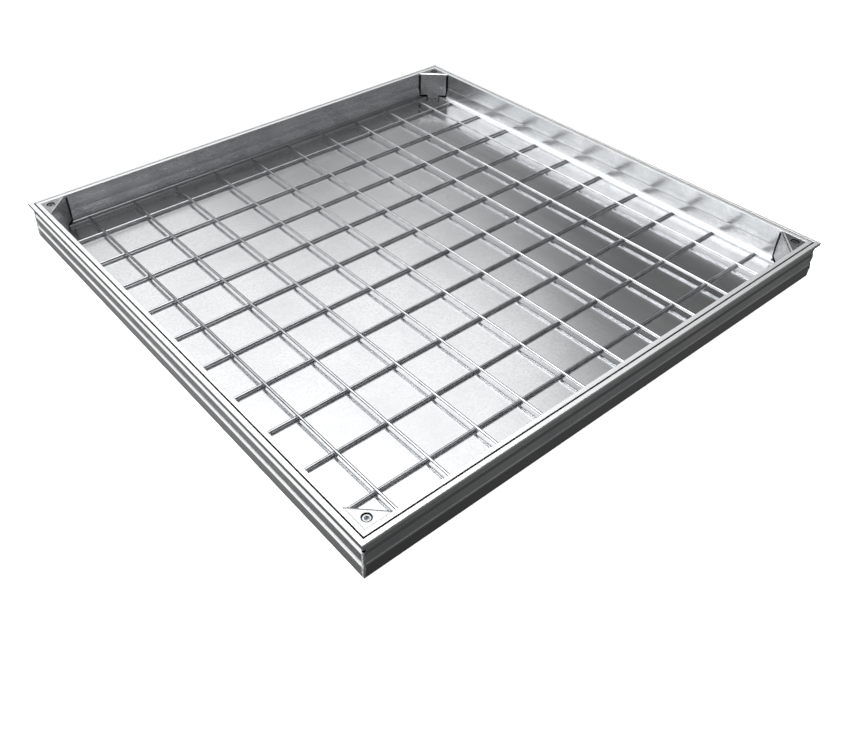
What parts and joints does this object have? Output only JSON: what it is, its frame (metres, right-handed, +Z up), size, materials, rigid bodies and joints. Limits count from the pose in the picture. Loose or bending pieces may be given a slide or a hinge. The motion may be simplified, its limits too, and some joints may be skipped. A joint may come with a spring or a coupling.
{
  "type": "recessed paving cover",
  "caption": "Square access cover: a lipped aluminium frame with a shallow tray inside it, wire mesh on the tray's floor to key the mortar, and corner gussets with lifting threads.",
  "frame": {"origin": "centre of the underside of the frame's flange, the plane that beds on the ground works", "axes": "+Z up, +X to the right and +Y to the back; the upper wires of the mesh run along Y and the lower ones along X"},
  "size_m": [0.6, 0.6, 0.042],
  "materials": {
    "frame_aluminium": "mill finish extrusion, fine lines along its length",
    "tray_aluminium": "mill finish extrusion, slightly brighter",
    "seal_rubber": "plain black strip",
    "floor_aluminium": "bright rolled sheet",
    "mesh_wire": "drawn and galvanised wire",
    "gusset_aluminium": "rolled sheet, folded",
    "socket_steel": "zinc plated, turned",
    "screw_steel": "stainless, turned"
  },
  "bodies": {
    "root": {"frame_rail_front": "frame_aluminium", "frame_rail_right": "frame_aluminium", "frame_rail_back": "frame_aluminium", "frame_rail_left": "frame_aluminium", "tray_rail_front": "tray_aluminium", "tray_rail_right": "tray_aluminium", "tray_rail_back": "tray_aluminium", "tray_rail_left": "tray_aluminium", "seal_strip_front": "seal_rubber", "seal_strip_right": "seal_rubber", "seal_strip_back": "seal_rubber", "seal_strip_left": "seal_rubber", "floor_sheet": "floor_aluminium", "lower_wire_01": "mesh_wire", "upper_wire_01": "mesh_wire", "lower_wire_02": "mesh_wire", "upper_wire_02": "mesh_wire", "lower_wire_03": "mesh_wire", "upper_wire_03": "mesh_wire", "lower_wire_04": "mesh_wire", "upper_wire_04": "mesh_wire", "lower_wire_05": "mesh_wire", "upper_wire_05": "mesh_wire", "lower_wire_06": "mesh_wire", "upper_wire_06": "mesh_wire", "lower_wire_07": "mesh_wire", "upper_wire_07": "mesh_wire", "lower_wire_08": "mesh_wire", "upper_wire_08": "mesh_wire", "lower_wire_09": "mesh_wire", "upper_wire_09": "mesh_wire", "lower_wire_10": "mesh_wire", "upper_wire_10": "mesh_wire", "corner_gusset_front_left": "gusset_aluminium", "corner_gusset_front_right": "gusset_aluminium", "corner_gusset_back_right": "gusset_aluminium", "corner_gusset_back_left": "gusset_aluminium", "lifting_socket_front_left": "socket_steel", "lifting_socket_front_right": "socket_steel", "lifting_socket_back_right": "socket_steel", "lifting_socket_back_left": "socket_steel", "plug_screw_front_left": "screw_steel", "plug_screw_front_right": "screw_steel", "plug_screw_back_right": "screw_steel", "plug_screw_back_left": "screw_steel"}
  },
  "joints": []
}
